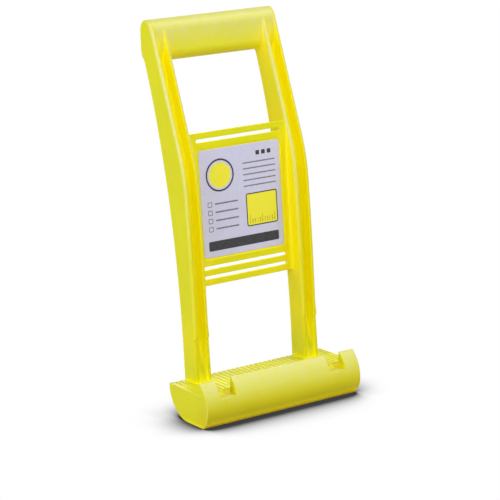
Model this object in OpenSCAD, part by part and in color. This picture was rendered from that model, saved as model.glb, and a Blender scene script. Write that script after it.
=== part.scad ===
// Panel carrier: a hand-held hook for carrying sheets of board.
// A sheet's lower edge stands on the ribbed tread, between the rails and the lip,
// and a hand holds the bar at the top.
// The origin is the middle of the foot's flat underside. X runs along the foot,
// the lip faces -Y and +Z is up. Side outlines are drawn in [y, z] and extruded along X.

/* [Foot] */
// Length of the foot
foot_len = 190; // [180:1:260]
// Depth of the flat underside, front to back
base_flat = 28; // [22:0.5:36]
// Radius of the round heel
heel_r = 33.4; // [31:0.1:38]
// Height of the toe's foremost line
toe_z = 20; // [17:0.5:23]
// Radius of the toe below its foremost line
toe_low_r = 25; // [24:0.5:30]
// Radius of the toe above its foremost line
toe_up_r = 34.3; // [31:0.1:42]
// Wall of the hollow foot
wall = 3; // [2:0.1:4]
// Thickness of each cross web inside the foot
cross_web_t = 3; // [2:0.1:4]
// Number of cross webs under the tread, between the rails
tread_webs = 3; // [1:1:5]
// Play between a cross web and the curved walls beside it
web_play = 0.2; // [0.1:0.05:0.5]

/* [Tread] */
// Height of the rib tops above the middle of the heel's round
tread_rise = 1; // [0:0.1:3]
// Thickness of the tread below its ribs
tread_t = 3; // [2:0.1:4]
// Height of the ribs
rib_h = 1.3; // [0.6:0.1:2]
// Spacing of the ribs
rib_pitch = 5.7; // [5:0.1:9]
// Width of a rib at its foot
rib_foot = 4.8; // [4:0.1:4.9]
// Width of a rib at its top
rib_crown = 3.4; // [2:0.1:3.8]

/* [Lip] */
// Clear gap for the sheet, from the rails to the foot of the lip
throat = 33.6; // [28:0.2:40]
// Height of the lip above the rib tops
lip_h = 12; // [8:0.5:15]
// How far the lip's inner face leans forward over its height
lip_lean = 0.8; // [0:0.1:1.6]
// Width of the ledge that carries the tread's front edge
ledge = 4; // [2:0.5:8]
// Width of each notch in the lip
notch_w = 19.6; // [12:0.2:26]
// Spacing of the two notches, middle to middle
notch_pitch = 134.9; // [120:0.1:145]

/* [Rails] */
// Spacing of the two rails, middle to middle
rail_pitch = 133.8; // [120:0.2:145]
// Width of a rail across its two flanges
rail_w = 17.8; // [14:0.2:24]
// Depth of a rail at the foot, front to back
rail_d = 23.2; // [20:0.2:26]
// Thickness of each flange
flange_t = 3.4; // [2:0.1:4.5]
// Thickness of the web between the flanges
rail_web_t = 3; // [2:0.1:4]
// Depth of the front channel, from the flanges' edges to the web
channel_d = 14.6; // [10:0.2:16]
// Depth of the front channel where it runs out at the tread
channel_end_d = 2; // [1:0.1:6]
// Height where the front edge leaves its straight lower stretch
bow_z = 82; // [81:1:100]
// Radius of the long bow in the front edge
bow_r = 2650; // [1600:10:3000]
// Turn of the long bow, in degrees
bow_turn = 3.1; // [2:0.1:5]
// Radius of the knee above the bow
knee_r = 172; // [120:1:220]
// Rake of the straight upper stretch, in degrees
rake = 19; // [15:0.1:23]
// Height where the rear edge starts to curve
back_z = 48; // [40:1:60]
// Radius of the rear edge
back_r = 1040; // [900:10:1300]
// Height of the small step in the flanges' front edges
step_z = 80.5; // [60:0.5:81]
// How far the flanges are set back below that step
step_in = 1.6; // [0.4:0.1:3]

/* [Handle] */
// Height of the top of the handle, which is the height of the whole carrier
handle_top = 400; // [380:1:420]
// Height of the handle's section
handle_h = 43; // [34:0.5:50]
// Thickness of the handle's section, front to back
handle_t = 22; // [16:0.5:26]
// How far the handle's front face lies behind the flanges' edges at their tips
handle_set = 0.6; // [0.5:0.1:4]

/* [Plate] */
// Height of the plate's lower edge
plate_z = 129.6; // [100:0.2:150]
// Height of the plate along its slope
plate_h = 157.2; // [120:0.1:170]
// Thickness of the plate
plate_t = 3; // [2:0.1:4]
// How far the plate's lower edge lies behind the rails' straight front
plate_set = 14.9; // [12:0.1:17]
// Lean of the plate, in degrees
plate_lean = 1.7; // [0:0.1:3]
// Depth of the grooves in the rails that hold the plate's edges
tongue = 1.5; // [0.5:0.1:1.8]
// Height of each bar between the slots
slat_h = 6.4; // [4:0.1:9]
// Height of each slot
slot_h = 3.5; // [2.5:0.1:3.9]
// Length of each slot
slot_len = 102; // [70:1:106]

/* [Label] */
// Width of the label
label_w = 98; // [60:1:104]
// Height of the label
label_h = 111; // [60:1:112]
// Thickness of the label
label_t = 0.4; // [0.2:0.05:0.6]
// Radius of the label's corners
label_r = 2.5; // [1:0.1:6]
// How far the label's face lies below the face of the plate
label_sunk = 0.3; // [0.1:0.05:0.5]
// Gap round the label inside its recess
label_gap = 1.5; // [0.1:0.1:2]

/* [Hidden] */
// How far a cut runs past the face that it opens
over = 1;
// Points along each arc of an outline
bow_steps = 6;
knee_steps = 10;
back_steps = 16;
$fn = 96;

// Heights of the foot: rib tops, the level top of its hollow shell, and the lip
tread_top = heel_r + tread_rise;
sill_z = tread_top - rib_h - tread_t;
lip_top = tread_top + lip_h;

// Centres of the foot's arcs and its ends, front to back
heel_y = base_flat / 2;
heel_end = heel_y + heel_r;
toe_low_y = sqrt(toe_low_r * toe_low_r - toe_z * toe_z) - base_flat / 2;
toe_end = toe_low_y - toe_low_r;
toe_up_y = toe_end + toe_up_r;
foot_inner = foot_len / 2 - wall;

// Rails stand flush with the heel
rail_rear = heel_end;
rail_front = rail_rear - rail_d;
rail_in = (rail_pitch - rail_w) / 2;
rail_out = (rail_pitch + rail_w) / 2;
lip_y = rail_front - throat;
notch_in = (notch_pitch - notch_w) / 2;
notch_out = (notch_pitch + notch_w) / 2;

// Front edge of a rail: a straight foot, the bow, the knee and a straight raked stretch
bow_end = [rail_front + bow_r * (1 - cos(bow_turn)), bow_z + bow_r * sin(bow_turn)];
bow_centre = [rail_front + bow_r, bow_z];
knee_centre = bow_end + knee_r * [cos(bow_turn), -sin(bow_turn)];
knee_end = knee_centre + knee_r * [-cos(rake), sin(rake)];
function raked_y(z, back) = knee_end[0] + (z - knee_end[1]) * tan(rake) + back / cos(rake);

// The handle lies just behind the tips of the flanges
handle_r = handle_t / 2;
tip_z = handle_top - handle_r;
handle_low = handle_top - handle_h + handle_r;
handle_y = raked_y(tip_z, 0) + handle_set + handle_r;
back_end_turn = asin((handle_low - back_z) / back_r);

// Middle of the label on the plate, and the room for the slots
plate_w = 2 * (rail_in + tongue);
slot_low = slat_h;
slot_mid = 2 * slat_h + slot_h;
slot_high = plate_h - slat_h - slot_h;
label_mid = (slot_mid + slot_h + slot_high) / 2;

yellow = [0.87, 0.85, 0.13];
shade = [0.8, 0.75, 0.08];
paper = [0.85, 0.84, 0.89];

// Points on an arc that starts vertical at its left and turns clockwise
function arc(centre, r, from, to, steps) =
    [for (i = [0:steps])
        let (a = from + (to - from) * i / steps)
        centre + r * [-cos(a), sin(a)]];

// Curve of the front edge above its straight foot, moved back by a distance
function front_curve(back) = concat(
    arc(bow_centre, bow_r - back, 0, bow_turn, bow_steps),
    arc(knee_centre, knee_r - back, bow_turn, rake, knee_steps));

function reversed(points) = [for (i = [len(points) - 1:-1:0]) points[i]];

// Extrudes a [y, z] outline along X
module slab(from, to) {
    translate([from, 0, 0])
        rotate([90, 0, 90])
            linear_extrude(to - from)
                children();
}

// Rectangle between two corners
module patch(low, high) {
    translate(low)
        square(high - low);
}

// Makes the right-hand copy of a left-hand piece
module right_hand() {
    mirror([1, 0, 0])
        children();
}

// Foot in side view up to a height: heel, middle, and the toe below and above its foremost line
module foot_outline(inset, top) {
    intersection() {
        translate([heel_y, heel_r])
            circle(heel_r - inset);
        patch([heel_y, inset], [heel_end, top]);
    }
    patch([toe_low_y, inset], [heel_y, top]);
    intersection() {
        translate([toe_low_y, toe_z])
            circle(toe_low_r - inset);
        patch([toe_end, inset], [toe_low_y, toe_z]);
    }
    intersection() {
        translate([toe_up_y, toe_z])
            circle(toe_up_r - inset);
        patch([toe_end, toe_z], [toe_low_y, top]);
    }
}

// Hollow of the foot in side view, under the rim that carries the lip
module cavity(play) {
    difference() {
        foot_outline(wall + play, sill_z);
        patch([toe_end, sill_z - wall - play], [lip_y + ledge + play, sill_z + over]);
    }
}

// Lip in side view, from the rim up
module lip_section() {
    intersection() {
        translate([toe_up_y, toe_z])
            circle(toe_up_r);
        polygon([[toe_end, sill_z], [lip_y, sill_z], [lip_y, tread_top], [lip_y - lip_lean, lip_top],
                 [toe_end, lip_top]]);
    }
}

// Full-round section of the handle
module handle_section() {
    for (z = [handle_low, tip_z])
        translate([handle_y, z])
            circle(handle_r);
    patch([handle_y - handle_r, handle_low], [handle_y + handle_r, tip_z]);
}

// Side view of a rail, coped to the handle, with the step in its front edge
module rail_outline() {
    difference() {
        polygon(concat(
            [[rail_front, sill_z], [rail_front, tread_top], [rail_front + step_in, step_z],
             [rail_front, step_z]],
            front_curve(0),
            [[raked_y(tip_z, 0), tip_z], [handle_y, tip_z], [handle_y, handle_low]],
            reversed(arc([rail_rear + back_r, back_z], back_r, 0, back_end_turn, back_steps)),
            [[rail_rear, sill_z]]));
        handle_section();
    }
}

// Side view of a rail's web: it follows the front edge and ramps forward to the tread
module web_outline() {
    deep = channel_d + rail_web_t;
    intersection() {
        polygon(concat(
            [[rail_front + channel_end_d, tread_top], [rail_front + channel_d, step_z]],
            front_curve(channel_d),
            [[raked_y(tip_z, channel_d), tip_z], [raked_y(tip_z, deep), tip_z]],
            reversed(front_curve(deep)),
            [[rail_front + deep, step_z], [rail_front + channel_end_d + rail_web_t, tread_top]]));
        rail_outline();
    }
}

// Places what follows on the leaning plate: x across, z up the slope, y = 0 at its front face
module on_plate() {
    translate([0, rail_front + plate_set, plate_z])
        rotate([-plate_lean, 0, 0])
            children();
}

// Slot with full-round ends, in the plate's face
module slot_outline() {
    reach = (slot_len - slot_h) / 2;
    patch([-reach, -slot_h / 2], [reach, slot_h / 2]);
    for (x = [-reach, reach])
        translate([x, 0])
            circle(slot_h / 2);
}

// Rectangle with round corners, in the plate's face
module rounded(w, h, r) {
    patch([r - w / 2, -h / 2], [w / 2 - r, h / 2]);
    patch([-w / 2, r - h / 2], [w / 2, h / 2 - r]);
    for (x = [r - w / 2, w / 2 - r], z = [r - h / 2, h / 2 - r])
        translate([x, z])
            circle(r);
}

// Extrudes a face drawing of the plate from a depth to a further depth
module into_plate(from, to) {
    translate([0, to, 0])
        rotate([90, 0, 0])
            linear_extrude(to - from)
                children();
}

module plate_blank() {
    into_plate(0, plate_t)
        patch([-plate_w / 2, 0], [plate_w / 2, plate_h]);
}

// Tread in front view: a plate with a row of ribs, cut to the foot's inside length
module tread_section() {
    ribs = floor(foot_inner / rib_pitch);
    base_z = sill_z + tread_t;
    intersection() {
        union() {
            patch([-foot_inner, sill_z], [foot_inner, base_z]);
            for (i = [-ribs:ribs])
                translate([i * rib_pitch, 0])
                    polygon([[-rib_foot / 2, base_z], [rib_foot / 2, base_z],
                             [rib_crown / 2, tread_top], [-rib_crown / 2, tread_top]]);
        }
        patch([-foot_inner, sill_z], [foot_inner, tread_top]);
    }
}

// Space that a left rail's solid foot takes in the tread
module rail_foot() {
    slab(-rail_out, -rail_in)
        patch([rail_front, sill_z], [rail_rear, tread_top]);
}

module foot_shell() {
    color(yellow)
        slab(-foot_inner, foot_inner)
            difference() {
                foot_outline(0, sill_z);
                cavity(0);
            }
}

module left_end_wall() {
    color(yellow)
        slab(-foot_len / 2, -foot_inner)
            difference() {
                foot_outline(0, tread_top);
                patch([toe_end - over, sill_z], [lip_y, tread_top + over]);
            }
}

module right_end_wall() {
    right_hand()
        left_end_wall();
}

module left_seat_webs() {
    color(shade)
        for (x = [-rail_out, -rail_in - cross_web_t])
            slab(x, x + cross_web_t)
                cavity(web_play);
}

module right_seat_webs() {
    right_hand()
        left_seat_webs();
}

module tread_webs_row() {
    gap = 2 * rail_in / (tread_webs + 1);
    color(shade)
        for (i = [1:tread_webs])
            slab(i * gap - rail_in - cross_web_t / 2, i * gap - rail_in + cross_web_t / 2)
                cavity(web_play);
}

module tread() {
    color(yellow)
        difference() {
            translate([0, heel_end, 0])
                rotate([90, 0, 0])
                    linear_extrude(heel_end - lip_y)
                        tread_section();
            rail_foot();
            right_hand()
                rail_foot();
        }
}

module left_horn() {
    color(yellow)
        slab(-foot_len / 2, -notch_out)
            lip_section();
}

module centre_lip() {
    color(yellow)
        slab(-notch_in, notch_in)
            lip_section();
}

module right_horn() {
    right_hand()
        left_horn();
}

module left_rail() {
    color(yellow)
        difference() {
            union() {
                slab(-rail_out, flange_t - rail_out)
                    rail_outline();
                slab(-rail_in - flange_t, -rail_in)
                    rail_outline();
                slab(-rail_out, -rail_in)
                    web_outline();
                rail_foot();
            }
            on_plate()
                plate_blank();
        }
}

module right_rail() {
    right_hand()
        left_rail();
}

module handle_bar() {
    color(yellow)
        slab(-rail_out, rail_out)
            handle_section();
}

module label_plate() {
    recess = label_t + label_sunk;
    color(yellow)
        on_plate()
            difference() {
                plate_blank();
                for (z = [slot_low, slot_mid, slot_high])
                    translate([0, 0, z + slot_h / 2])
                        into_plate(-over, plate_t + over)
                            slot_outline();
                translate([0, 0, label_mid])
                    into_plate(-over, recess)
                        rounded(label_w + 2 * label_gap, label_h + 2 * label_gap, label_r + label_gap);
            }
}

module label() {
    color(paper)
        on_plate()
            translate([0, 0, label_mid])
                into_plate(label_sunk, label_sunk + label_t)
                    rounded(label_w, label_h, label_r);
}

foot_shell();
left_end_wall();
right_end_wall();
left_seat_webs();
right_seat_webs();
tread_webs_row();
tread();
left_horn();
centre_lip();
right_horn();
left_rail();
right_rail();
handle_bar();
label_plate();
label();
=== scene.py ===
"""Panel carrier: the looks of the part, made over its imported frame.

Lengths are in millimetres until a mesh is made. Materials, lamps and the camera are in metres.
"""
import math

import bmesh
import bpy
from mathutils import Matrix, Vector
from mathutils.geometry import delaunay_2d_cdt


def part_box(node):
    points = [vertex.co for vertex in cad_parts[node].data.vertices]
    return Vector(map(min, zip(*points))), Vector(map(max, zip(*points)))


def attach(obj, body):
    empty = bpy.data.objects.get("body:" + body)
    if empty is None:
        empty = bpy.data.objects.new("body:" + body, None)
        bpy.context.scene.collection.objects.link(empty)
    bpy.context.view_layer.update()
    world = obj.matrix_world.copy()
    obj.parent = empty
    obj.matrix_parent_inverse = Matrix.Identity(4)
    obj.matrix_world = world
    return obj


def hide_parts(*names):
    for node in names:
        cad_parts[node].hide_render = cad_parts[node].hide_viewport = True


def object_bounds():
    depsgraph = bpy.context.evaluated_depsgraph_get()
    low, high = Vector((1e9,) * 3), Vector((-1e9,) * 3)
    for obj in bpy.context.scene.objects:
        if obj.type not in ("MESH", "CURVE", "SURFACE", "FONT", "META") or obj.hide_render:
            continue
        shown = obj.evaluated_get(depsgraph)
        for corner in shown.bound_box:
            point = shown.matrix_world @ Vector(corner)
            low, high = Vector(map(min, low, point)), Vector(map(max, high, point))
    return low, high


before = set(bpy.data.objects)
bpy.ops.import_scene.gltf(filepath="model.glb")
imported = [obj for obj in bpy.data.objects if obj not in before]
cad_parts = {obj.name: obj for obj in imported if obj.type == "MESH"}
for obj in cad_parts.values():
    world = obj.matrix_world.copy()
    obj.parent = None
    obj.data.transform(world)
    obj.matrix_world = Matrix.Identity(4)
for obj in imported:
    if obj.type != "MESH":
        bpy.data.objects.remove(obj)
cad_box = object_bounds()
MM = 0.001


def box_mm(node):
    """Lowest and highest corner of a node, in millimetres."""
    return [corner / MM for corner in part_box(node)]


# Main sizes, read from the frame
shell_low, shell_high = box_mm("foot_shell")
wall_low, wall_high = box_mm("left_end_wall")
horn_high = box_mm("left_horn")[1]
lip_high = box_mm("centre_lip")[1]
rail_low, rail_high = box_mm("left_rail")
bar_low, bar_high = box_mm("handle_bar")
FOOT_END = -wall_low.x
FOOT_INNER = shell_high.x
TOE_Y = shell_low.y
HEEL_Y = wall_high.y
SILL_Z = shell_high.z
TREAD_Z = wall_high.z
LIP_Z = lip_high.z
LIP_Y = lip_high.y
NOTCH_IN = lip_high.x
NOTCH_OUT = -horn_high.x
RAIL_OUT = -rail_low.x
RAIL_IN = -rail_high.x
RAIL_Y = rail_low.y
BAR_FRONT = bar_low.y
BAR_REAR = bar_high.y
BAR_LOW = bar_low.z
BAR_TOP = bar_high.z

# Foot in side view: radii and centres of its arcs, and its wall
HEEL_R = 33.4
BASE_FLAT = 28
TOE_Z = 20
TOE_LOW_R = 25
TOE_UP_R = 34.3
HEEL = (BASE_FLAT / 2, HEEL_R)
TOE_LOW = (TOE_Y + TOE_LOW_R, TOE_Z)
TOE_UP = (TOE_Y + TOE_UP_R, TOE_Z)
FOOT_WALL = 3
LIP_LEAN = 0.8
LEDGE = 4

# Tread: the places of points on a rib are shares of half its pitch, and ribs run out shallower at the rear
TREAD_T = 3
RIB_PITCH = 5.7
RIB_SHARES = (-1, -0.97, -0.9, -0.78, -0.6, -0.35, 0, 0.35, 0.6, 0.78, 0.9, 0.97)
RIB_POWER = 3
REAR_RIB_SHARE = 0.5
REAR_RIB_FADE = 6

# Rails in side view
BOW_Z = 82
BOW_R = 2650
BOW_TURN = math.radians(3.1)
KNEE_R = 172
RAKE = math.radians(19)
BACK_Z = 48
BACK_R = 1040
STEP_Z = 80.5
STEP_IN = 1.6
STEP_GAP = 1.5
RAIL_LOW_Z = SILL_Z + 1
HEEL_SUNK = 0.15

# Sections of the rails: flanges, web, and the solid foot between the flanges
FLANGE_T = 3.4
WEB_T = 3
CHANNEL_OUT = RAIL_OUT - FLANGE_T
CHANNEL_IN = RAIL_IN + FLANGE_T
CHANNEL_D = 14.6
CHANNEL_END_D = 2
RAMP_BLEND = 9
LAP = 0.5
BLOCK_IN = 0.3
BLOCK_SUNK = 0.02

# Handle: half-axes and centres of its round top and underside
BAR_UP_R = 11.7
BAR_LOW_R = 11.8
BAR_Y = (BAR_FRONT + BAR_REAR) / 2
BAR_HALF = (BAR_REAR - BAR_FRONT) / 2
BAR_UP_Z = BAR_TOP - BAR_UP_R
BAR_LOW_Z = BAR_LOW + BAR_LOW_R
BAR_INSET = 0.02
BAR_LAP = 0.6
GRIP_SHARES = (0.8, 0.5, 0.2)

# Top of a rail: its flanges run round the handle's end, and its web runs into the handle's front
TIP_Z = BAR_UP_Z + 2.4
OVER_ANGLES = (157, 0)
UNDER_ANGLES = (0, -42)
REAR_GAP = 5
INNER_SUNK = 0.35
MERGE_LOW = BAR_LOW - 11
MERGE_HIGH = BAR_LOW_Z + 3
MERGE_SUNK = 0.1

# Plate and label, drawn in the plate's own frame: x across, depth into it, height up its slope
PLATE_Y = 39.1
PLATE_Z = 129.6
PLATE_H = 157.2
PLATE_T = 3
PLATE_LEAN = math.radians(1.7)
PLATE_LAP = 0.3
SLAT_H = 6.4
SLOT_H = 3.5
SLOT_LEN = 102
LABEL_W = 98
LABEL_H = 111
LABEL_R = 2.5
LABEL_T = 0.4
LABEL_SUNK = 0.3
LABEL_GAP = 1.5
LABEL_CLEAR = 0.01
SLOTS_AT = [SLAT_H + SLOT_H / 2, 2 * SLAT_H + 1.5 * SLOT_H, PLATE_H - SLAT_H - SLOT_H / 2]
LABEL_MID = (SLOTS_AT[1] + SLOTS_AT[2]) / 2
SLOT = (SLOT_LEN, SLOT_H, SLOT_H / 2)
LABEL = (LABEL_W, LABEL_H, LABEL_R)
RECESS = (LABEL_W + 2 * LABEL_GAP, LABEL_H + 2 * LABEL_GAP, LABEL_R + LABEL_GAP)
PLATE_TURN = Matrix.Translation(Vector((0, PLATE_Y, PLATE_Z)) * MM) @ Matrix.Rotation(-PLATE_LEAN, 4, "X")

# Print: each patch is its middle x and z from the label's middle, its width, height and corner radius
INK_PROUD = 0.03
INK_SUNK = 0.02
BAND = (0, -44, 86, 10, 1.5)
DISC = (-25, 28, 26, 26, 12.9)
RING = (-25, 28, 34, 34, 16.9)
RING_LINE = 1.8
PANEL = (24, -13, 36, 32, 1.5)
PANEL_RIM = (24, -13, 38.4, 34.4, 2.2)
PANEL_LINE = 1.2

# Print that repeats: places, pitches and counts, with a width, height and corner radius
DOTS_X = (22, 29, 36)
DOTS_Z = 45
DOT = (4.5, 4.5, 0.8)
RULES_AT = (23, 36)
RULE_PITCH = 6
RULE_COUNT = 5
RULE = (40, 1.3, 0.5)
TICKS_AT = (-39, -1)
TICK_PITCH = 8.5
TICK_COUNT = 4
TICK_BOX = (5.4, 5.4, 0.8)
TICK_LINE = 0.8
TICK_RULE_X = -19
TICK_RULE = (28, 1.6, 0.6)
MARKS_AT = (9, -27.5)
MARK_PITCH = 3
MARK_COUNT = 11
MARK_GROUP = 5
MARK_LONG = 9
MARK_SHORT = 5
MARK_W = 0.9
MARK_R = 0.3

# Roundings of edges
FLANGE_ROUND = 3.0
CHANNEL_ROUND = 0.4
STEP_ROUND = 0.7
REAR_ROUND = 1.8
REAR_LOW_ROUND = 0.6
BAR_REAR_ROUND = 1.0
END_ROUND = 0.9
NOTCH_ROUND = 0.6
NOTCH_RIM_SHARE = 1.35
RIDGE_ROUND = 0.5
TREAD_ROUND = 0.35
TREAD_BEND_SHARE = 0.3
PLATE_ROUND = 0.5
RECESS_ROUND = 0.3
LABEL_ROUND = 0.12
LIP_NOTCH_ROUNDS = {"front": NOTCH_ROUND, "ridge": 0.3, "back": 0.3, "seam": 0}
LIP_END_ROUNDS = {"front": END_ROUND, "ridge": 0.35, "back": 0.35, "seam": 0}

# How a flange's roundings change along it: by height at its front and rear, and by rows under the handle
ROUND_GROW = 12
TIP_FADE = 8
REAR_ROUND_Z = (110, 250)
ROUND_ROWS = 6
CORNER_ROWS = 4

# Fillets: the margin keeps one off a flange's front edge, and the shares place the points across one
CHANNEL_FILLET = 3.0
CHANNEL_FILLET_SHARE = 0.6
REAR_FILLET = 1.4
PLATE_FILLET = 2.5
PLATE_BACK_FILLET = 1.5
BAR_FILLET = 3.5
POCKET_FILLET = 2.0
POCKET_MARGIN = 0.6
FILLET_SHARES = (0, 0.06, 0.16, 0.3, 0.48, 0.72, 1)
ROOM_STEP = 0.25

# Painted sheen: where highlights fall the plastic is painted pale, from 0 to 1
RIDGE_PAINTED_SHEEN = 0.9
HANDLE_PAINTED_SHEEN = 0.75
TOE_PAINTED_SHEEN = 0.7
TOE_PAINTED_SHEEN_Z = 14
SILL_PAINTED_SHEEN = 0.22
RAIL_PAINTED_SHEEN_LOW = 0.12
RAIL_PAINTED_SHEEN_Z = (130, 320)

# Fineness: degrees between the points of an arc, and counts of steps and rows
ARC_STEP = 2.5
ARC_FEWEST = 2
EDGE_STEPS = 6
NOTCH_RIM_STEPS = 4
RIDGE_STEPS = 6
OVER_STEPS = 26
UNDER_STEPS = 8
FRONT_ROWS = 78
REAR_ROWS = 60
RAMP_ROWS = 8
WEB_ROWS = 70
FILLET_STEPS = 5
REAR_FILLET_STEPS = 4
BAR_STEPS = 32
BAR_FLAT_ROWS = 8
PLATE_ROWS = 16
PLATE_EDGE_STEPS = 4
RECT_STEPS = 6
RIM_STEPS = 3
LABEL_EDGE_ANGLES = (0, 0.5, 1.0, math.pi / 2)

# Mesh making: lengths that count as none, the kind of fill, and turns that count as straight or sharp
TINY = 0.001
MERGE_GAP = 0.004
THIN_GAP = 0.002
FILL_GAP = 1e-5
FILL_OUTPUT = 2
NEAR_STRAIGHT = 0.3
SHARP_ANGLE = math.radians(50)


def spread(low, high, count):
    """Evenly spaced values from low to high, with both."""
    return [low + (high - low) * i / count for i in range(count + 1)]


def portion(value, low, high):
    """How far a value lies from low to high, held between 0 and 1."""
    return max(0, min(1, (value - low) / (high - low)))


def ease(value, low, high):
    """Smooth rise from 0 at low to 1 at high."""
    part = portion(value, low, high)
    return part * part * (3 - 2 * part)


def blend(a, b, part):
    """Value that lies a part of the way from a to b."""
    return a + (b - a) * part


class Shell:
    """Points and faces of one piece, in millimetres, with how much painted sheen each point has, from 0 to 1.
    """

    def __init__(self):
        self.points = []
        self.painted_sheen = []
        self.faces = []

    def add(self, points, painted_sheen=None):
        first = len(self.points)
        self.points.extend(points)
        self.painted_sheen.extend(painted_sheen or [0] * len(points))
        return list(range(first, len(self.points)))

    def join(self, ring_a, ring_b, skip=()):
        """Quads between two closed rings, apart from the edges in skip."""
        n = len(ring_a)
        for i in range(n):
            if i not in skip:
                j = (i + 1) % n
                self.faces.append((ring_a[i], ring_a[j], ring_b[j], ring_b[i]))

    def loft(self, rings, capped=True, painted_sheen=None):
        """Joins a row of closed rings and closes its ends."""
        rows = [self.add(ring, painted_sheen and painted_sheen[i]) for i, ring in enumerate(rings)]
        for a, b in zip(rows, rows[1:]):
            self.join(a, b)
        if capped:
            self.faces.append(tuple(rows[0]))
            self.faces.append(tuple(rows[-1]))
        return rows

    def fill(self, loops, place):
        """Flat face inside the first loop and outside the others, drawn in 2D and set in space by place."""
        flat = []
        rings = []
        for loop in loops:
            first = len(flat)
            flat.extend(Vector(p) for p in loop)
            ring = list(range(first, len(flat)))
            rings.append(ring if first == 0 else ring[::-1])
        points, _, faces, _, _, _ = delaunay_2d_cdt(flat, [], rings, FILL_OUTPUT, FILL_GAP)
        ids = self.add([place(p.x, p.y) for p in points])
        self.faces.extend(tuple(ids[i] for i in face) for face in faces)


def piece(name, shell, material, nodes=(), turn=None):
    """Makes an object of a shell, with clean normals, and hangs it on the frame."""
    mesh = bpy.data.meshes.new(name)
    mesh.from_pydata([Vector(p) * MM for p in shell.points], [], shell.faces)
    # Each point's painted sheen, stored for the plastic's colour.
    mesh.attributes.new("painted_sheen", "FLOAT", "POINT").data.foreach_set("value", shell.painted_sheen)
    bm = bmesh.new()
    bm.from_mesh(mesh)
    bmesh.ops.remove_doubles(bm, verts=bm.verts, dist=MERGE_GAP * MM)
    bmesh.ops.dissolve_degenerate(bm, edges=bm.edges, dist=THIN_GAP * MM)
    bmesh.ops.recalc_face_normals(bm, faces=bm.faces)
    for face in bm.faces:
        face.smooth = True
    for edge in bm.edges:
        edge.smooth = edge.calc_face_angle(0) < SHARP_ANGLE
    if turn:
        bm.transform(turn)
    bm.to_mesh(mesh)
    bm.free()
    mesh.materials.append(material)
    thing = bpy.data.objects.new(name, mesh)
    bpy.context.collection.objects.link(thing)
    normals = thing.modifiers.new("normals", "WEIGHTED_NORMAL")
    normals.keep_sharp = True
    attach(thing, "root")
    if nodes:
        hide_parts(*nodes)


# Curves in side view, as points [y, z]


def arc(centre, radii, start, end, steps):
    """Points on an ellipse from one angle to another, in degrees."""
    angles = [math.radians(a) for a in spread(start, end, steps)]
    return [(centre[0] + radii[0] * math.cos(a), centre[1] + radii[1] * math.sin(a)) for a in angles]


def round_arc(centre, r, start, end):
    """Points on a circle, as close together as the fineness asks."""
    steps = max(ARC_FEWEST, round(abs(end - start) / ARC_STEP))
    return arc(centre, (r, r), start, end, steps)


def front_y(z):
    """Front line of a rail at a height."""
    bow_end_y = RAIL_Y + BOW_R * (1 - math.cos(BOW_TURN))
    bow_end_z = BOW_Z + BOW_R * math.sin(BOW_TURN)
    knee_y = bow_end_y + KNEE_R * math.cos(BOW_TURN)
    knee_z = bow_end_z - KNEE_R * math.sin(BOW_TURN)
    knee_end_z = knee_z + KNEE_R * math.sin(RAKE)
    if z <= BOW_Z:
        return RAIL_Y
    if z <= bow_end_z:
        return RAIL_Y + BOW_R - math.sqrt(BOW_R**2 - (z - BOW_Z) ** 2)
    if z <= knee_end_z:
        return knee_y - math.sqrt(KNEE_R**2 - (z - knee_z) ** 2)
    return knee_y - KNEE_R * math.cos(RAKE) + (z - knee_end_z) * math.tan(RAKE)


def front_slant(z):
    """Length along the front line for each millimetre of height."""
    return math.hypot(1, front_y(z + 1 / 2) - front_y(z - 1 / 2))


def rear_y(z):
    """Rear line of a rail at a height."""
    if z <= BACK_Z:
        return HEEL_Y
    return HEEL_Y + BACK_R - math.sqrt(BACK_R**2 - (z - BACK_Z) ** 2)


def web_y(z):
    """Front face of a rail's web: it ramps forward below the step, and at its top it runs into the handle."""
    ramp = (CHANNEL_D - CHANNEL_END_D) / (STEP_Z - TREAD_Z)
    short = STEP_Z + RAMP_BLEND - z
    if short > 2 * RAMP_BLEND:
        rise = short - RAMP_BLEND
    else:
        rise = max(0, short) ** 2 / (4 * RAMP_BLEND)
    deep = front_y(z) + CHANNEL_D * front_slant(z) - ramp * min(rise, STEP_Z - TREAD_Z)
    return blend(deep, BAR_FRONT + MERGE_SUNK, ease(z, MERGE_LOW, MERGE_HIGH))


def inset(points, distances):
    """Moves each edge of a closed outline inwards by its own distance."""
    nexts = points[1:] + points[:1]
    area = sum(a[0] * b[1] - b[0] * a[1] for a, b in zip(points, nexts))
    sign = 1 if area > 0 else -1
    normals = []
    for a, b in zip(points, nexts):
        d = Vector(b) - Vector(a)
        normals.append(Vector((-d.y, d.x)).normalized() * sign)
    moved = []
    for i, point in enumerate(points):
        n1, n2 = normals[i - 1], normals[i]
        d1, d2 = distances[i - 1], distances[i]
        cross = n1.x * n2.y - n1.y * n2.x
        if abs(cross) < NEAR_STRAIGHT:
            shift = (n1 + n2).normalized() * (d1 + d2) / 2
        else:
            shift = Vector((d1 * n2.y - d2 * n1.y, d2 * n1.x - d1 * n2.x)) / cross
        moved.append((point[0] + shift.x, point[1] + shift.y))
    return moved


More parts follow.
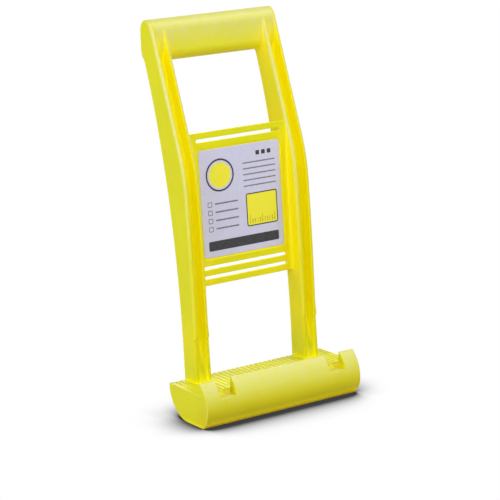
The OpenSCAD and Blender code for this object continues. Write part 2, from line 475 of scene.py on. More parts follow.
def slab(shell, outline, x_a, x_b, rounds_a, rounds_b, point_sheen=None, edge_sheen=None):
    """Plate with a side-view outline between two x planes. Each edge of an end has its own rounding.

    The outline's points get painted sheen by their values in the first list of shares, and the round edges
    beside them by the second.
    """
    point_sheen = point_sheen or [0] * len(outline)
    edge_sheen = edge_sheen or [1] * len(outline)
    angles = spread(0, math.pi / 2, EDGE_STEPS)
    rings = []
    painted_sheen = []
    for x_end, rounds, turns in ((x_a, rounds_a, angles), (x_b, rounds_b, angles[::-1])):
        way = 1 if (x_b > x_a) == (x_end == x_a) else -1
        deep = [max(rounds[i - 1], rounds[i]) for i in range(len(rounds))]
        for a in turns:
            loop = inset(outline, [r * (1 - math.sin(a)) for r in rounds])
            rings.append([(x_end + way * r * (1 - math.cos(a)), y, z) for r, (y, z) in zip(deep, loop)])
            edges = [w * r / FLANGE_ROUND * math.sin(2 * a) for w, r in zip(edge_sheen, deep)]
            painted_sheen.append([max(edge, w * math.sin(a)) for edge, w in zip(edges, point_sheen)])
    shell.loft(rings, painted_sheen=painted_sheen)


# Foot


def angle_at(centre, r, z):
    """Angle on the front half of an arc at a height, in degrees."""
    return 180 - math.degrees(math.asin((z - centre[1]) / r))


def toe_path(top, off=0):
    """Toe from the flat underside up to a height."""
    low = round_arc(TOE_LOW, TOE_LOW_R - off, angle_at(TOE_LOW, TOE_LOW_R - off, off), 180)
    return low[:-1] + round_arc(TOE_UP, TOE_UP_R - off, 180, angle_at(TOE_UP, TOE_UP_R - off, top))


def heel_path(top, off=0):
    """Heel from a height down to the flat underside."""
    start = math.degrees(math.asin(max(-1, min(1, (top - HEEL_R) / (HEEL_R - off)))))
    return round_arc(HEEL, HEEL_R - off, start, -90)


def toe_painted_sheen(y, z):
    """Painted sheen on the foot's front: more towards the lip's top."""
    if y > LIP_Y - LIP_LEAN:
        return 0
    return TOE_PAINTED_SHEEN * ease(z, TOE_PAINTED_SHEEN_Z, LIP_Z)


def foot_outside(edge):
    """Foot's outside from the heel to the rim, whose front edge is rounded by a radius."""
    outer = heel_path(SILL_Z) + toe_path(SILL_Z)[:-1]
    start = angle_at(TOE_UP, TOE_UP_R, SILL_Z - edge)
    wide = NOTCH_RIM_SHARE * edge
    rim_y = TOE_UP[0] + TOE_UP_R * math.cos(math.radians(start)) + wide
    return outer + arc((rim_y, SILL_Z - edge), (wide, edge), 180, 90, NOTCH_RIM_STEPS)


def make_foot_shell(material):
    """Trough whose rim is sharp under the lip and rounded in the notches."""
    inner_top = SILL_Z - FOOT_WALL
    inner = heel_path(SILL_Z, FOOT_WALL) + toe_path(inner_top, FOOT_WALL)
    inner += [(LIP_Y + LEDGE, inner_top), (LIP_Y + LEDGE, SILL_Z)]
    # Painted pale sheen: on the outside by height, and on the rear edge of the rim.
    inner_painted_sheen = [SILL_PAINTED_SHEEN] + [0] * (len(inner) - 1)
    left = [(-FOOT_INNER, TINY), (-NOTCH_OUT, TINY), (-NOTCH_OUT, NOTCH_ROUND)]
    left += [(-NOTCH_IN, NOTCH_ROUND), (-NOTCH_IN, TINY)]
    right = [(-x, edge) for x, edge in reversed(left)]
    rings = []
    painted_sheen = []
    for x, edge in left + right:
        outer = foot_outside(edge)
        rings.append([(x, y, z) for y, z in outer + inner[::-1]])
        painted_sheen.append([toe_painted_sheen(y, z) for y, z in outer] + inner_painted_sheen)
    shell = Shell()
    shell.loft(rings, painted_sheen=painted_sheen)
    piece("foot_trough", shell, material, ["foot_shell"])


def make_end_wall(name, node, side, material):
    body = heel_path(HEEL_R) + toe_path(SILL_Z)
    outline = body + [(LIP_Y, SILL_Z), (LIP_Y, TREAD_Z), (HEEL_Y, TREAD_Z)]
    seams = (len(body) - 1, len(body))
    rounds = [0 if i in seams else END_ROUND for i in range(len(outline))]
    # Painted pale sheen on the foot's front, more towards the top.
    point_sheen = [toe_painted_sheen(y, z) for y, z in outline]
    shell = Shell()
    slab(shell, outline, side * FOOT_END, side * FOOT_INNER, rounds, [0] * len(outline), point_sheen)
    piece(name, shell, material, [node])


def lip_outline():
    """Lip above the shell's rim, with the kind of each of its edges."""
    start, end = [angle_at(TOE_UP, TOE_UP_R, z) for z in (SILL_Z, LIP_Z - RIDGE_ROUND)]
    front = round_arc(TOE_UP, TOE_UP_R, start, end)
    ridge_y = front[-1][0]
    half = (LIP_Y - LIP_LEAN - ridge_y) / 2
    ridge = arc((ridge_y + half, LIP_Z - RIDGE_ROUND), (half, RIDGE_ROUND), 180, 0, RIDGE_STEPS)
    outline = front[:-1] + ridge + [(LIP_Y, TREAD_Z), (LIP_Y, SILL_Z)]
    kinds = ["front"] * (len(front) - 1) + ["ridge"] * (len(ridge) - 1) + ["back", "seam", "seam"]
    return outline, kinds


def make_lip(name, node, x_a, x_b, material):
    outline, kinds = lip_outline()
    rounds = []
    for x in (x_a, x_b):
        table = LIP_END_ROUNDS if abs(x) == FOOT_END else LIP_NOTCH_ROUNDS
        rounds.append([table[kind] for kind in kinds])
    point_sheen = [toe_painted_sheen(y, z) for y, z in outline]
    # Painted highlight along the lip's ridge.
    point_sheen = [RIDGE_PAINTED_SHEEN if "ridge" in (kinds[i - 1], kinds[i]) else w for i, w in enumerate(point_sheen)]
    shell = Shell()
    slab(shell, outline, x_a, x_b, *rounds, point_sheen)
    piece(name, shell, material, [node])


def tread_line():
    """Ribs and valleys across the tread's top, as points [x, z]."""
    base = SILL_Z + TREAD_T
    ribs = math.floor(FOOT_INNER / RIB_PITCH)
    line = []
    for i in range(-ribs, ribs + 1):
        for part in RIB_SHARES:
            line.append(((i + part / 2) * RIB_PITCH, TREAD_Z - (TREAD_Z - base) * abs(part) ** RIB_POWER))
    line = [(x, z) for x, z in line if abs(x) < FOOT_INNER]
    return [(-FOOT_INNER, base)] + line + [(FOOT_INNER, base)]


def make_tread(material):
    """Platform whose ribs run from the lip to a rounded rear edge."""
    outline = tread_line() + [(FOOT_INNER, SILL_Z), (-FOOT_INNER, SILL_Z)]
    bend = TREAD_BEND_SHARE * TREAD_ROUND
    rings = []
    painted_sheen = []
    for y, drop, deep, point_sheen in (
        # The front row gets painted pale sheen.
        (LIP_Y, 0, 1, SILL_PAINTED_SHEEN),
        (LIP_Y + TREAD_ROUND, 0, 1, 0),
        (HEEL_Y - REAR_RIB_FADE, 0, 1, 0),
        (HEEL_Y - TREAD_ROUND, 0, REAR_RIB_SHARE, 0),
        (HEEL_Y - bend, bend, REAR_RIB_SHARE, 0),
        (HEEL_Y, TREAD_ROUND, REAR_RIB_SHARE, 0),
    ):
        rings.append([(x, y, TREAD_Z - deep * (TREAD_Z - z) - drop if z > SILL_Z else z) for x, z in outline])
        painted_sheen.append([point_sheen] * len(outline))
    shell = Shell()
    shell.loft(rings, painted_sheen=painted_sheen)
    piece("ribbed_tread", shell, material, ["tread"])


# Rails


def flange_rows(sunk):
    """Side view of a flange, round the handle's end at its top.

    A row is a point [y, z], and the rounding of the edge after it on the show side and in the channel.
    """
    rows = [((RAIL_Y, RAIL_LOW_Z), 0, 0)]
    for point in ((RAIL_Y, TREAD_Z), (RAIL_Y + STEP_IN, STEP_Z), (RAIL_Y, STEP_Z)):
        rows.append((point, STEP_ROUND, CHANNEL_ROUND))
    for z in spread(STEP_Z + STEP_GAP, TIP_Z, FRONT_ROWS):
        show = blend(STEP_ROUND, FLANGE_ROUND, portion(z, STEP_Z, STEP_Z + ROUND_GROW))
        rows.append(((front_y(z), z), show, CHANNEL_ROUND * portion(z, TIP_Z, TIP_Z - TIP_FADE)))
    over = arc((BAR_Y, BAR_UP_Z), (BAR_HALF - sunk, BAR_UP_R - sunk), *OVER_ANGLES, OVER_STEPS)
    under = arc((BAR_Y, BAR_LOW_Z), (BAR_HALF - sunk, BAR_LOW_R - sunk), *UNDER_ANGLES, UNDER_STEPS)
    for i, point in enumerate(over):
        rows.append((point, blend(FLANGE_ROUND, BAR_REAR_ROUND, i / OVER_STEPS), 0))
    rows += [(point, BAR_REAR_ROUND, 0) for point in under]
    for i, z in enumerate(spread(under[-1][1] - REAR_GAP, BACK_Z, REAR_ROWS)):
        edge = blend(REAR_LOW_ROUND, REAR_ROUND, portion(z, *REAR_ROUND_Z))
        show = blend(BAR_REAR_ROUND, edge, portion(i, 0, ROUND_ROWS))
        rows.append(((rear_y(z), z), show, CHANNEL_ROUND * portion(i, 0, CORNER_ROWS)))
    heel_y = HEEL_Y - HEEL_SUNK
    return rows + [((heel_y, TREAD_Z), REAR_LOW_ROUND, CHANNEL_ROUND), ((heel_y, RAIL_LOW_Z), 0, 0)]


def web_section(z):
    """Section of a web at a height, as points [x, y], with fillets at its four corners."""
    front = web_y(z)
    r = min(CHANNEL_FILLET, CHANNEL_FILLET_SHARE * (front - RAIL_Y))
    q = REAR_FILLET
    near = front - r
    far = front + WEB_T * front_slant(z) + q
    loop = [(CHANNEL_OUT + LAP, near)]
    loop += arc((CHANNEL_OUT - r, near), (r, r), 0, 90, FILLET_STEPS)
    loop += arc((CHANNEL_IN + r, near), (r, r), 90, 180, FILLET_STEPS)
    loop += [(CHANNEL_IN - LAP, near), (CHANNEL_IN - LAP, far)]
    loop += arc((CHANNEL_IN + q, far), (q, q), 180, 270, REAR_FILLET_STEPS)
    loop += arc((CHANNEL_OUT - q, far), (q, q), 270, 360, REAR_FILLET_STEPS)
    return loop + [(CHANNEL_OUT + LAP, far)]


def add_web(shell, side):
    """Web between the flanges, from the rail's foot to the handle."""
    heights = [RAIL_LOW_Z] + spread(TREAD_Z, STEP_Z, RAMP_ROWS) + spread(STEP_Z, MERGE_HIGH, WEB_ROWS)[1:]
    shell.loft([[(side * x, y, z) for x, y in web_section(z)] for z in heights])


def add_foot_block(shell, side):
    """Solid foot of a rail, let into the tread."""
    x0 = side * (CHANNEL_OUT + LAP)
    x1 = side * (CHANNEL_IN - LAP)
    front = RAIL_Y + BLOCK_IN
    rear = HEEL_Y - BLOCK_IN
    ring = [(x0, front), (x1, front), (x1, rear), (x0, rear)]
    shell.loft([[(x, y, z) for x, y in ring] for z in (RAIL_LOW_Z, TREAD_Z - BLOCK_SUNK)])


def rail_painted_sheen(z):
    """Painted sheen on a rail's round edges: more towards the handle."""
    return blend(RAIL_PAINTED_SHEEN_LOW, 1, ease(z, *RAIL_PAINTED_SHEEN_Z))


def make_rail(name, node, side, material):
    shell = Shell()
    for x, way, sunk in ((RAIL_OUT, -1, 0), (RAIL_IN, 1, INNER_SUNK)):
        points, show, channel = zip(*flange_rows(sunk))
        # Painted sheen on the flanges' round edges, more towards the handle.
        edge_sheen = [rail_painted_sheen(z) for y, z in points]
        slab(shell, points, side * x, side * (x + way * FLANGE_T), show, channel, None, edge_sheen)
    add_web(shell, side)
    add_foot_block(shell, side)
    piece(name, shell, material, [node])


# Handle


def handle_section(off):
    """Points and outward directions round the bar's section."""
    up = arc((BAR_Y, BAR_UP_Z), (BAR_HALF - off, BAR_UP_R - off), 0, 180, BAR_STEPS)
    low = arc((BAR_Y, BAR_LOW_Z), (BAR_HALF - off, BAR_LOW_R - off), 180, 360, BAR_STEPS)
    front = [(BAR_FRONT + off, z) for z in spread(BAR_UP_Z, BAR_LOW_Z, BAR_FLAT_ROWS)[1:-1]]
    rear = [(BAR_REAR - off, z) for z in spread(BAR_LOW_Z, BAR_UP_Z, BAR_FLAT_ROWS)[1:-1]]
    points = up + front + low + rear
    ways = []
    for y, z in points:
        if z > BAR_UP_Z:
            way = Vector(((y - BAR_Y) / BAR_HALF**2, (z - BAR_UP_Z) / BAR_UP_R**2))
        elif z < BAR_LOW_Z:
            way = Vector(((y - BAR_Y) / BAR_HALF**2, (z - BAR_LOW_Z) / BAR_LOW_R**2))
        else:
            way = Vector((y - BAR_Y, 0))
        ways.append(way.normalized())
    return points, ways


def flange_room(y, z, way, margin, most):
    """How far a flange's face runs on beyond the bar from a point on the bar's section."""
    far = 0
    while far < most:
        y1 = y + way.x * (far + ROOM_STEP)
        z1 = z + way.y * (far + ROOM_STEP)
        if z1 > BAR_UP_Z or y1 < front_y(z1) + margin or y1 > min(rear_y(z1), BAR_REAR):
            break
        far += ROOM_STEP
    return far


def flare(depth, r, room):
    """Height of a fillet of a radius, held within the room beside it, at a distance from the wall."""
    r = max(TINY, min(r, room))
    if depth >= r:
        return 0
    return r - math.sqrt(r * r - (r - depth) ** 2)


def handle_stations():
    """Places along the handle: x, distance from the wall beside it, fillet's radius and margin."""
    half = (CHANNEL_OUT - CHANNEL_IN) / 2
    depths = [s * POCKET_FILLET for s in FILLET_SHARES]
    pocket = [(CHANNEL_OUT + LAP, 0)]
    pocket += [(CHANNEL_OUT - d, d) for d in depths]
    pocket += [(CHANNEL_OUT - half, half)]
    pocket += [(CHANNEL_IN + d, d) for d in reversed(depths)]
    pocket += [(RAIL_IN + BAR_LAP, 0)]
    grip = [(RAIL_IN - s * BAR_FILLET, s * BAR_FILLET) for s in FILLET_SHARES]
    grip += [(RAIL_IN * s, BAR_FILLET) for s in GRIP_SHARES]
    right = [(x, d, POCKET_FILLET, POCKET_MARGIN) for x, d in pocket]
    right += [(x, d, BAR_FILLET, FLANGE_ROUND) for x, d in grip]
    return right + [(-x, d, r, margin) for x, d, r, margin in reversed(right)]


def make_handle(material):
    """Bar with fillets where it meets the rails' flanges."""
    points, ways = handle_section(BAR_INSET)
    rings = []
    for x, depth, r, margin in handle_stations():
        ring = []
        for (y, z), way in zip(points, ways):
            grown = flare(depth, r, flange_room(y, z, way, margin, r))
            ring.append((x, y + way.x * grown, z + way.y * grown))
        rings.append(ring)
    # Painted sheen, paler towards the bar's top.
    point_sheen = [HANDLE_PAINTED_SHEEN * ease(z, BAR_LOW, BAR_TOP) for y, z in points]
    shell = Shell()
    shell.loft(rings, painted_sheen=[point_sheen] * len(rings))
    piece("handle", shell, material, ["handle_bar"])


# Plate and label


def rounded_rect(cx, cz, w, h, r, grow=0):
    """Closed loop of a rectangle with round corners, grown on all sides."""
    r = r + grow
    x = w / 2 + grow - r
    z = h / 2 + grow - r
    corners = ((x, z, 0), (-x, z, 90), (-x, -z, 180), (x, -z, 270))
    return [p for dx, dz, a in corners for p in arc((cx + dx, cz + dz), (r, r), a, a + 90, RECT_STEPS)]


def add_wall(shell, cx, cz, size, levels, capped=False):
    """Wall round a rounded rectangle through (growth, depth) levels."""
    rings = [[(x, d, z) for x, z in rounded_rect(cx, cz, *size, grow)] for grow, d in levels]
    return shell.loft(rings, capped)


def edge_levels(r, near, far):
    """Levels of a rounded rim that runs from a face into a hole."""
    inward = math.copysign(r, far - near)
    angles = spread(0, math.pi / 2, RIM_STEPS)
    return [(r * (1 - math.sin(a)), near + inward * (1 - math.cos(a))) for a in angles]


def plate_heights():
    return spread(PLATE_ROUND, PLATE_H - PLATE_ROUND, PLATE_ROWS)


def plate_swell(x, h):
    """How far the fillet beside a rail stands out of the front, kept behind the rail's round edge."""
    y = PLATE_Y + h * math.sin(PLATE_LEAN)
    z = PLATE_Z + h * math.cos(PLATE_LEAN)
    return flare(max(0, RAIL_IN - abs(x)), PLATE_FILLET, y - front_y(z) - FLANGE_ROUND)


def plate_ring(x):
    """Section of the plate at a place across it."""
    r = PLATE_ROUND
    low, high = -plate_swell(x, 0), -plate_swell(x, PLATE_H)
    back = PLATE_T + flare(max(0, RAIL_IN - abs(x)), PLATE_BACK_FILLET, PLATE_BACK_FILLET)
    between = plate_heights()[1:-1]
    loop = arc((low + r, r), (r, r), 270, 180, PLATE_EDGE_STEPS)
    loop += [(-plate_swell(x, h), h) for h in between]
    loop += arc((high + r, PLATE_H - r), (r, r), 180, 90, PLATE_EDGE_STEPS)
    loop += arc((back - r, PLATE_H - r), (r, r), 90, 0, PLATE_EDGE_STEPS)
    loop += [(back, h) for h in reversed(between)]
    loop += arc((back - r, r), (r, r), 0, -90, PLATE_EDGE_STEPS)
    return [(x, d, h) for d, h in loop]


def add_plate_edges(shell, flat):
    """Plate's ends with their fillets, and its lower and upper edges, round the two flat faces."""
    across = [flat + (1 - s) * PLATE_FILLET for s in reversed(FILLET_SHARES)] + [RAIL_IN + PLATE_LAP]
    right = [shell.add(plate_ring(x)) for x in across]
    left = [shell.add(plate_ring(-x)) for x in across]
    for side in (left, right):
        for a, b in zip(side, side[1:]):
            shell.join(a, b)
        shell.faces.append(tuple(side[-1]))
    front_edge = PLATE_EDGE_STEPS
    back_edge = front_edge + PLATE_ROWS + PLATE_EDGE_STEPS + 1 + PLATE_EDGE_STEPS
    flats = [first + i for first in (front_edge, back_edge) for i in range(PLATE_ROWS)]
    shell.join(left[0], right[0], skip=flats)


def make_plate(material):
    """Plate with three slots and a shallow recess for the label."""
    shell = Shell()
    flat = RAIL_IN - PLATE_FILLET
    heights = plate_heights()
    add_plate_edges(shell, flat)
    border = [(flat, h) for h in heights] + [(-flat, h) for h in reversed(heights)]
    holes = [rounded_rect(0, z, *SLOT, PLATE_ROUND) for z in SLOTS_AT]
    dish = rounded_rect(0, LABEL_MID, *RECESS, RECESS_ROUND)
    shell.fill([border] + holes + [dish], lambda x, h: (x, 0, h))
    shell.fill([border] + holes, lambda x, h: (x, PLATE_T, h))
    through = edge_levels(PLATE_ROUND, 0, PLATE_T) + edge_levels(PLATE_ROUND, PLATE_T, 0)[::-1]
    for z in SLOTS_AT:
        add_wall(shell, 0, z, SLOT, through)
    into = edge_levels(RECESS_ROUND, 0, PLATE_T) + [(0, LABEL_SUNK + LABEL_T)]
    rows = add_wall(shell, 0, LABEL_MID, RECESS, into)
    shell.faces.append(tuple(rows[-1]))
    piece("slotted_plate", shell, material, ["label_plate"], PLATE_TURN)


def make_label(material):
    """Thin sheet with a softened edge."""
    edge = LABEL_ROUND
    levels = []
    for a in LABEL_EDGE_ANGLES:
        levels.append((-edge * (1 - math.sin(a)), LABEL_SUNK + edge * (1 - math.cos(a))))
    levels.append((0, LABEL_SUNK + LABEL_T - LABEL_CLEAR))
    shell = Shell()
    add_wall(shell, 0, LABEL_MID, LABEL, levels, True)
    piece("label_sheet", shell, material, ["label"], PLATE_TURN)


def ink_levels(grow):
    """Levels of an ink's wall, from its face into the label."""
    return [(grow, LABEL_SUNK - INK_PROUD), (grow, LABEL_SUNK + INK_SUNK)]


def add_patch(shell, cx, cz, *size):
    """Thin printed patch, given from the middle of the label."""
    add_wall(shell, cx, LABEL_MID + cz, size, ink_levels(0), True)


def add_frame(shell, line, cx, cz, *size):
    """Thin printed outline of a rounded rectangle, with a line of a width."""
    outer = add_wall(shell, cx, LABEL_MID + cz, size, ink_levels(0))
    inner = add_wall(shell, cx, LABEL_MID + cz, size, ink_levels(-line))
    for ring_a, ring_b in zip(outer, inner):
        shell.join(ring_a, ring_b)


def make_print(inks):
    """Plain generic print: a disc, ruled lines, tick boxes, a panel with a scale and a band."""
    black = Shell()
    yellow = Shell()
    grey = Shell()
    add_patch(black, *BAND)
    for x in DOTS_X:
        add_patch(black, x, DOTS_Z, *DOT)
    add_patch(yellow, *DISC)
    add_frame(black, RING_LINE, *RING)
    for i in range(RULE_COUNT):
        add_patch(grey, RULES_AT[0], RULES_AT[1] - RULE_PITCH * i, *RULE)
    for i in range(TICK_COUNT):
        z = TICKS_AT[1] - TICK_PITCH * i
        add_frame(grey, TICK_LINE, TICKS_AT[0], z, *TICK_BOX)
        add_patch(grey, TICK_RULE_X, z, *TICK_RULE)
    add_patch(yellow, *PANEL)
    add_frame(black, PANEL_LINE, *PANEL_RIM)
    for i in range(MARK_COUNT):
        tall = MARK_SHORT if i % MARK_GROUP else MARK_LONG
        add_patch(black, MARKS_AT[0] + MARK_PITCH * i, MARKS_AT[1] + tall / 2, MARK_W, tall, MARK_R)
    for name, shell in (("black", black), ("yellow", yellow), ("grey", grey)):
        piece("print_" + name, shell, inks[name], (), PLATE_TURN)


# Materials

# Plastic: its linear colours: its own two, then painted bounce light, painted shade and painted sheen
YELLOW = (0.67, 0.65, 0.0)
YELLOW_DRIFT = (0.70, 0.678, 0.001)
PAINTED_FACING_BOUNCE = (0.97, 0.79, 0.0)
PAINTED_HOLLOW_BOUNCE = (1.0, 0.93, 0.0)
PAINTED_DEEP_BOUNCE = (1.0, 0.80, 0.0)
PAINTED_TOE_SHADE = (0.97, 0.87, 1.0)
PAINTED_SHEEN_CREAM = (0.68, 0.66, 0.26)

# Plastic: where its painted light and shade come in, by reach, openness and place, and how much of them
PAINTED_FACING_REACH = 0.12
PAINTED_FACING_OPEN = (0.84, 0.93)
PAINTED_FACING_SHARES = (0.7, 0)
PAINTED_FACING_Z = (0.05, 0.09)
PAINTED_HOLLOW_REACH = 0.014
PAINTED_HOLLOW_OPEN = (0.4, 0.75)
PAINTED_DEEP_OPEN = (0.2, 0.42)
PAINTED_DEEP_SHARES = (0.8, 0)
PAINTED_TOE_SHADE_Y = (-0.016, 0.0)
PAINTED_TOE_SHADE_Z = (0.016, 0.034)
PAINTED_SHEEN_SHARES = (0.6, 1)
PLASTIC_GLOSS = 0.28

# Film, inks and paper: each is a pair of linear colours that a noise mixes
FILM = ((0.56, 0.545, 0.70), (0.60, 0.585, 0.74))
INKS = {
    "black": ((0.03, 0.03, 0.035), (0.012, 0.012, 0.014)),
    "yellow": ((0.80, 0.74, 0.05), (0.84, 0.76, 0.01)),
    "grey": ((0.22, 0.22, 0.25), (0.13, 0.13, 0.15)),
}
PAPER = ((0.52, 0.52, 0.52), (0.56, 0.56, 0.56))

# Noises: scale, detail, and the range of values that is stretched
DRIFT_NOISE = (16, 3, (0.35, 0.65))
PAINTED_SHEEN_NOISE = (150, 3, (0.3, 0.6))
SATIN_NOISE = (900, 4, (0.3, 0.7))
FILM_NOISE = (260, 4, (0.3, 0.7))
FILM_GLOSS_NOISE = (60, 3, (0.3, 0.7))
INK_NOISE = (700, 4, (0.35, 0.6))
INK_GLOSS_NOISE = (140, 3, (0.3, 0.7))
PAPER_NOISE = (30, 3, (0.3, 0.7))

# Roughness, from low to high
SATIN_ROUGH = (0.44, 0.52)
FILM_ROUGH = (0.30, 0.40)
INK_ROUGH = (0.32, 0.44)

# Fine relief: scale, detail and roughness of a noise, strength and depth
PLASTIC_GRAIN = (1700, 3, 0.6, 0.12, 0.0002)
FILM_GRAIN = (90, 2, 0.5, 0.05, 0.0004)
INK_GRAIN = (900, 2, 0.5, 0.04, 0.0001)

# Floor's shade by the object: reach, openness and brightness
FLOOR_REACH = 0.15
FLOOR_OPEN = (0.52, 0.885)
FLOOR_WHITE = (0.05, 1)

# Settings of nodes: samples of openness, and the mix node's colour sockets
HOLLOW_SAMPLES = 8
FLOOR_SAMPLES = 32
MIX_COLOURS = (6, 7)
MIX_RESULT = 2


class Nodes:
    """Short way to make a material's nodes."""

    def __init__(self, name):
        self.material = bpy.data.materials.new(name)
        self.material.use_nodes = True
        self.tree = self.material.node_tree
        self.shader = self.tree.nodes["Principled BSDF"]
        self.place = self.add("ShaderNodeTexCoord").outputs["Object"]

    def add(self, kind, **settings):
        node = self.tree.nodes.new(kind)
        for key, value in settings.items():
            setattr(node, key, value)
        return node

    def link(self, out, into):
        self.tree.links.new(out, into)

    def feed(self, out, name):
        """Links a value to one of the shader's sockets."""
        self.link(out, self.shader.inputs[name])

    def noise(self, scale, detail, rough=0.5):
        node = self.add("ShaderNodeTexNoise")
        for key, number in (("Scale", scale), ("Detail", detail), ("Roughness", rough)):
            node.inputs[key].default_value = number
        self.link(self.place, node.inputs["Vector"])
        return node.outputs["Fac"]

    def span(self, value, source, target):
        """Maps a value from one range to another."""
        node = self.add("ShaderNodeMapRange")
        for key, number in zip(("From Min", "From Max", "To Min", "To Max"), (*source, *target)):
            node.inputs[key].default_value = number
        self.link(value, node.inputs["Value"])
        return node.outputs["Result"]

    def mottle(self, noise, target=(0, 1)):
        """Noise whose own range is stretched to another."""
        scale, detail, source = noise
        return self.span(self.noise(scale, detail), source, target)

    def mix(self, factor, colour_a, colour_b, kind="MIX"):
        node = self.add("ShaderNodeMix", data_type="RGBA", blend_type=kind)
        self.link(factor, node.inputs["Factor"])
        for index, colour in zip(MIX_COLOURS, (colour_a, colour_b)):
            if isinstance(colour, tuple):
                node.inputs[index].default_value = (*colour, 1)
            else:
                self.link(colour, node.inputs[index])
        return node.outputs[MIX_RESULT]

    def hollow(self, reach, samples=HOLLOW_SAMPLES):
        """How open the surface is within a reach: 1 in the open, less in hollows."""
        node = self.add("ShaderNodeAmbientOcclusion", samples=samples)
        node.inputs["Distance"].default_value = reach
        return node.outputs["AO"]

    def along(self, axis):
        """Place along an axis of the part, in metres."""
        node = self.add("ShaderNodeSeparateXYZ")
        self.link(self.place, node.inputs[0])
        return node.outputs[axis]

    def stored(self, name):
        """Value that the mesh holds at its points."""
        return self.add("ShaderNodeAttribute", attribute_name=name).outputs["Fac"]

    def times(self, a, b):
        node = self.add("ShaderNodeMath", operation="MULTIPLY")
        self.link(a, node.inputs[0])
        self.link(b, node.inputs[1])
        return node.outputs[0]

    def grain(self, scale, detail, rough, strength, depth):
        """Fine relief from a noise."""
        node = self.add("ShaderNodeBump")
        node.inputs["Strength"].default_value = strength
        node.inputs["Distance"].default_value = depth
        self.link(self.noise(scale, detail, rough), node.inputs["Height"])
        self.feed(node.outputs["Normal"], "Normal")


def yellow_plastic():
    """Moulded satin plastic: fine grain and slow colour drift, with painted bounce light in hollows, painted
    warm shade on the toe and painted pale sheen where highlights fall.
    """
    n = Nodes("yellow_plastic")
    base = n.mix(n.mottle(DRIFT_NOISE), YELLOW, YELLOW_DRIFT)
    # Painted bounce light and shade: faces that look at each other within 12 cm turn gold, above the foot
    # only.
    facing_bounce = n.span(n.hollow(PAINTED_FACING_REACH), PAINTED_FACING_OPEN, PAINTED_FACING_SHARES)
    painted_bounce = n.times(facing_bounce, n.span(n.along("Z"), PAINTED_FACING_Z, (0, 1)))
    with_painted_bounce = n.mix(painted_bounce, base, PAINTED_FACING_BOUNCE)
    # Painted bounce light: hollows within 14 mm turn a brighter gold.
    near = n.hollow(PAINTED_HOLLOW_REACH)
    with_hollow_bounce = n.mix(n.span(near, PAINTED_HOLLOW_OPEN, (1, 0)), with_painted_bounce, PAINTED_HOLLOW_BOUNCE)
    # Painted bounce light and shade: the deepest hollows turn orange.
    colour = n.mix(n.span(near, PAINTED_DEEP_OPEN, PAINTED_DEEP_SHARES), with_hollow_bounce, PAINTED_DEEP_BOUNCE)
    # Painted warm shade: the toe's lower front turns darker and warmer towards the floor.
    toe_shade = n.times(n.span(n.along("Y"), PAINTED_TOE_SHADE_Y, (1, 0)), n.span(n.along("Z"), PAINTED_TOE_SHADE_Z, (1, 0)))
    with_toe_shade = n.mix(toe_shade, colour, PAINTED_TOE_SHADE, "MULTIPLY")
    # Painted pale sheen where highlights fall, from each point's stored share, made patchy by a noise.
    painted_sheen = n.times(n.stored("painted_sheen"), n.mottle(PAINTED_SHEEN_NOISE, PAINTED_SHEEN_SHARES))
    n.feed(n.mix(painted_sheen, with_toe_shade, PAINTED_SHEEN_CREAM), "Base Color")
    n.feed(n.mottle(SATIN_NOISE, SATIN_ROUGH), "Roughness")
    n.shader.inputs["Specular IOR Level"].default_value = PLASTIC_GLOSS
    n.grain(*PLASTIC_GRAIN)
    return n.material


def label_film():
    """Printed film: pale, faintly mottled, with a soft gloss."""
    n = Nodes("label_film")
    n.feed(n.mix(n.mottle(FILM_NOISE), *FILM), "Base Color")
    n.feed(n.mottle(FILM_GLOSS_NOISE, FILM_ROUGH), "Roughness")
    n.grain(*FILM_GRAIN)
    return n.material


def ink(name, thin, full):
    """Printing ink, a little uneven where it lies thin."""
    n = Nodes(name)
    n.feed(n.mix(n.mottle(INK_NOISE), thin, full), "Base Color")
    n.feed(n.mottle(INK_GLOSS_NOISE, INK_ROUGH), "Roughness")
    n.grain(*INK_GRAIN)
    return n.material


def straight_rays(tree):
    """1 for camera, glossy and transmission rays, and 0 for the rays that light other things."""
    path = tree.nodes.new("ShaderNodeLightPath")
    value = path.outputs["Is Camera Ray"]
    for name in ("Is Glossy Ray", "Is Transmission Ray"):
        top = tree.nodes.new("ShaderNodeMath")
        top.operation = "MAXIMUM"
        tree.links.new(value, top.inputs[0])
        tree.links.new(path.outputs[name], top.inputs[1])
        value = top.outputs[0]
    return value


def show_to_straight_rays(tree, plain, shown, output):
    """Gives straight rays one shader and all other rays another."""
    mix = tree.nodes.new("ShaderNodeMixShader")
    tree.links.new(straight_rays(tree), mix.inputs["Fac"])
    tree.links.new(plain.outputs[0], mix.inputs[1])
    tree.links.new(shown.outputs[0], mix.inputs[2])
    tree.links.new(mix.outputs[0], tree.nodes[output].inputs["Surface"])


def floor_paper():
    """White paper floor: white to the camera, and darker by the object, where little light comes in."""
    n = Nodes("floor_paper")
    n.tree.nodes.remove(n.shader)
    paper = n.add("ShaderNodeBsdfDiffuse")
    n.link(n.mix(n.mottle(PAPER_NOISE), *PAPER), paper.inputs["Color"])
    white = n.add("ShaderNodeEmission")
    shade = n.span(n.hollow(FLOOR_REACH, FLOOR_SAMPLES), FLOOR_OPEN, FLOOR_WHITE)
    n.link(shade, white.inputs["Strength"])
    show_to_straight_rays(n.tree, paper, white, "Material Output")
    return n.material


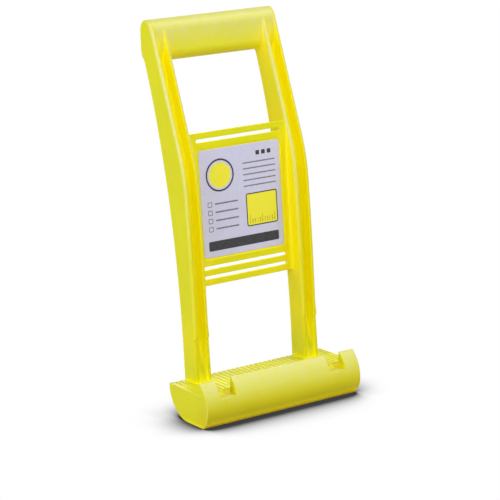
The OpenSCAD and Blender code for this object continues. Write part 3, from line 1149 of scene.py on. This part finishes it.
# Stage, in metres: a lamp has a place, a width and a power
FLOOR_HALF = 3.0
FLOOR_Z = -0.0002
WORLD_DIM = 0.1
LAMPS = {
    "key": ((0.96, -0.6, 1.6), 0.65, 17),
    "low_key": ((0.96, -1.35, 0.85), 0.6, 3.5),
    "front": ((-1.0, -1.5, 0.75), 0.8, 9.3),
    "front_high": ((-0.9, -1.3, 1.5), 0.8, 8),
    "side": ((-1.9, -0.2, 0.8), 1.4, 23),
    "rear": ((0.4, 1.9, 1.0), 1.5, 8),
    "rear_low": ((0.7, 1.9, 0.2), 0.8, 13),
}
CAMERA_PLACE = (-1.07763, -1.61687, 0.61881)
CAMERA_AZIMUTH = math.radians(33.182)
CAMERA_ELEVATION = math.radians(13.094)
CAMERA_ROLL = math.radians(-2.5)
CAMERA_LENS = 142.07


def make_floor():
    mesh = bpy.data.meshes.new("floor")
    corners = ((-1, -1), (1, -1), (1, 1), (-1, 1))
    mesh.from_pydata([(x * FLOOR_HALF, y * FLOOR_HALF, FLOOR_Z) for x, y in corners], [], [(0, 1, 2, 3)])
    floor = bpy.data.objects.new("floor", mesh)
    bpy.context.collection.objects.link(floor)
    mesh.materials.append(floor_paper())


def make_world():
    """Dim white surroundings that straight rays see as plain white."""
    world = bpy.data.worlds.new("studio")
    world.use_nodes = True
    bpy.context.scene.world = world
    tree = world.node_tree
    dim = tree.nodes["Background"]
    white = tree.nodes.new("ShaderNodeBackground")
    for node in (dim, white):
        node.inputs["Color"].default_value = (1, 1, 1, 1)
    dim.inputs["Strength"].default_value = WORLD_DIM
    show_to_straight_rays(tree, dim, white, "World Output")


def make_light(name, place, size, power):
    """Soft lamp that shines at the middle of the part."""
    light = bpy.data.lights.new(name, "AREA")
    light.size = size
    light.energy = power
    lamp = bpy.data.objects.new(name, light)
    bpy.context.collection.objects.link(lamp)
    lamp.location = place
    middle = (cad_box[0] + cad_box[1]) / 2
    lamp.rotation_euler = (middle - Vector(place)).to_track_quat("-Z", "Y").to_euler()


def make_camera():
    """Camera at the photograph's place."""
    a, e, r = CAMERA_AZIMUTH, CAMERA_ELEVATION, CAMERA_ROLL
    ahead = Vector((math.sin(a) * math.cos(e), math.cos(a) * math.cos(e), -math.sin(e)))
    right = Vector((math.cos(a), -math.sin(a), 0))
    up = right.cross(ahead)
    side = right * math.cos(r) + up * math.sin(r)
    top = up * math.cos(r) - right * math.sin(r)
    data = bpy.data.cameras.new("camera")
    data.lens = CAMERA_LENS
    camera = bpy.data.objects.new("camera", data)
    bpy.context.collection.objects.link(camera)
    turn = Matrix((side, top, -ahead)).transposed().to_4x4()
    camera.matrix_world = Matrix.Translation(CAMERA_PLACE) @ turn
    bpy.context.scene.camera = camera


plastic = yellow_plastic()
for node in ("left_seat_webs", "right_seat_webs", "tread_webs_row"):
    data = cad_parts[node].data
    data.materials.clear()
    data.materials.append(plastic)
make_foot_shell(plastic)
make_end_wall("left_end_cap", "left_end_wall", -1, plastic)
make_end_wall("right_end_cap", "right_end_wall", 1, plastic)
make_lip("left_horn_lip", "left_horn", -FOOT_END, -NOTCH_OUT, plastic)
make_lip("middle_lip", "centre_lip", -NOTCH_IN, NOTCH_IN, plastic)
make_lip("right_horn_lip", "right_horn", NOTCH_OUT, FOOT_END, plastic)
make_tread(plastic)
make_rail("left_rail_beam", "left_rail", -1, plastic)
make_rail("right_rail_beam", "right_rail", 1, plastic)
make_handle(plastic)
make_plate(plastic)
make_label(label_film())
make_print({name: ink(name + "_ink", *pair) for name, pair in INKS.items()})
make_floor()
make_world()
for name, lamp in LAMPS.items():
    make_light(name, *lamp)
make_camera()
bpy.context.scene.view_settings.view_transform = "Standard"
